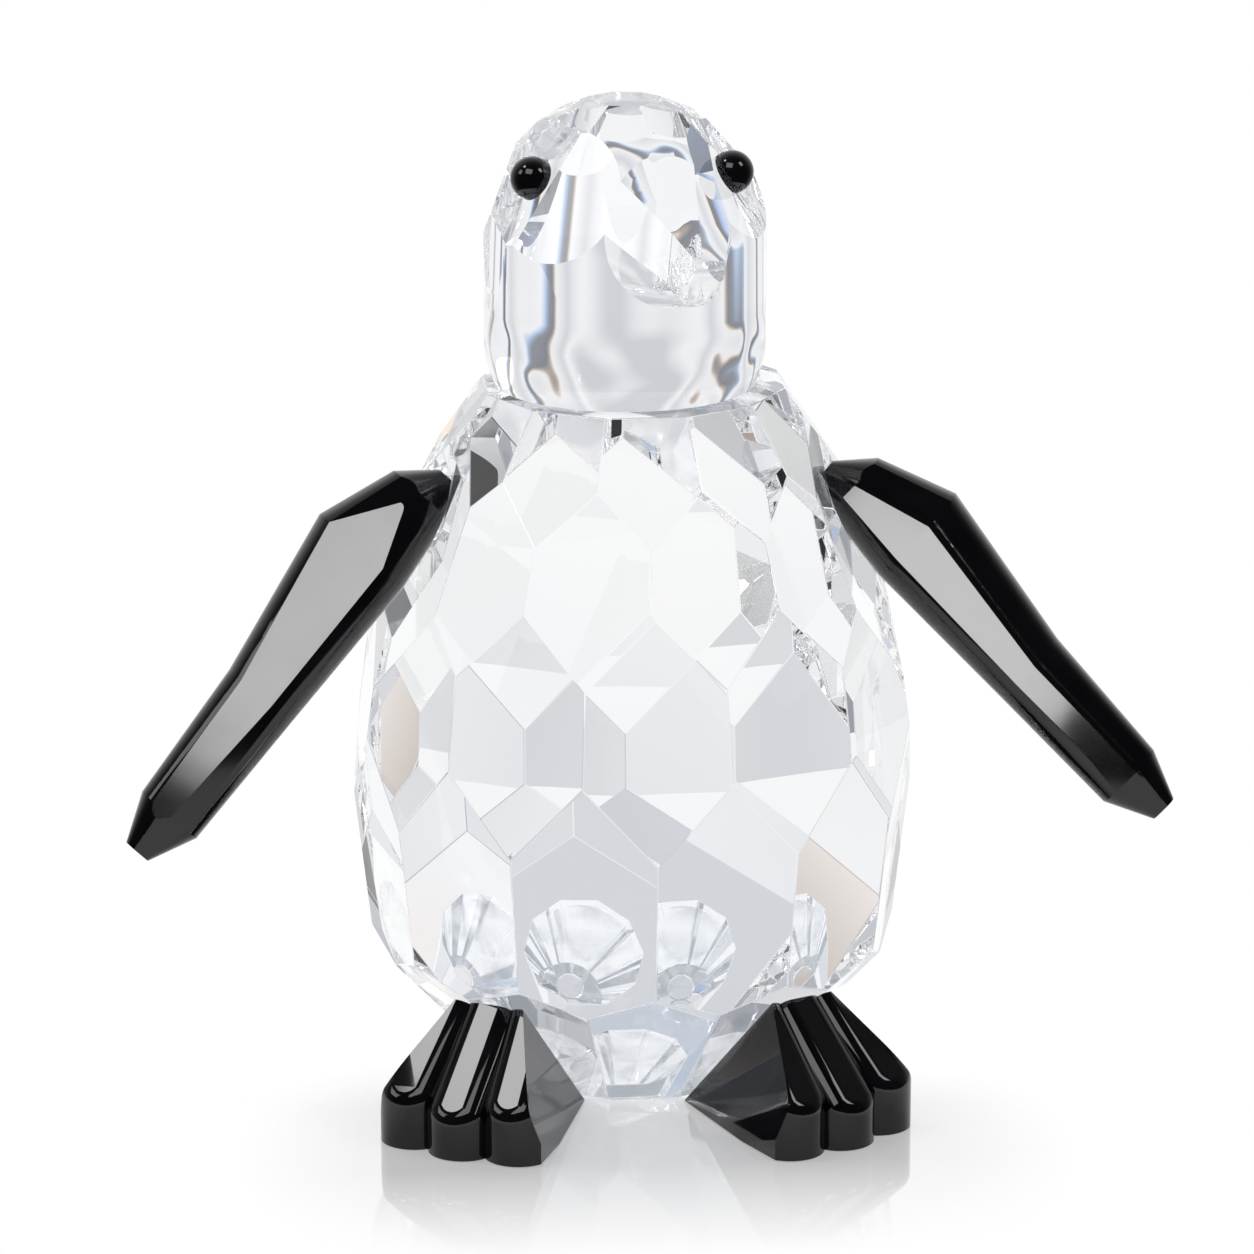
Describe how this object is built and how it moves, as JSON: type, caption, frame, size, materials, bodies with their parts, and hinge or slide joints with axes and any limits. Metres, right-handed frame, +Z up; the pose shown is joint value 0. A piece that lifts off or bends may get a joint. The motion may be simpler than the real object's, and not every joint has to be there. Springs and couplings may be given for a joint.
{
  "type": "penguin figurine",
  "caption": "Standing cut-glass penguin ornament: faceted clear egg body, domed head with beak, jet-black glass flippers, toed feet and eyes, glued together.",
  "frame": {"origin": "centre of the body's flat base, on the surface that the figurine stands on", "axes": "+Z up along the body's axis, -Y the way the body faces, +X the penguin's own left"},
  "size_m": [0.078, 0.047, 0.0749],
  "materials": {
    "crystal": "polished clear cut glass",
    "jet": "polished opaque black glass",
    "adhesive": "clear cured adhesive film"
  },
  "bodies": {
    "root": {"body": "crystal", "head": "crystal", "tail": "crystal", "left_wing": "jet", "left_foot": "jet", "left_eye": "jet", "right_wing": "jet", "right_foot": "jet", "right_eye": "jet", "neck_bond": "adhesive", "tail_bond": "adhesive", "left_wing_bond": "adhesive", "left_foot_bond": "adhesive", "left_eye_bond": "adhesive", "right_wing_bond": "adhesive", "right_foot_bond": "adhesive", "right_eye_bond": "adhesive"}
  },
  "joints": []
}
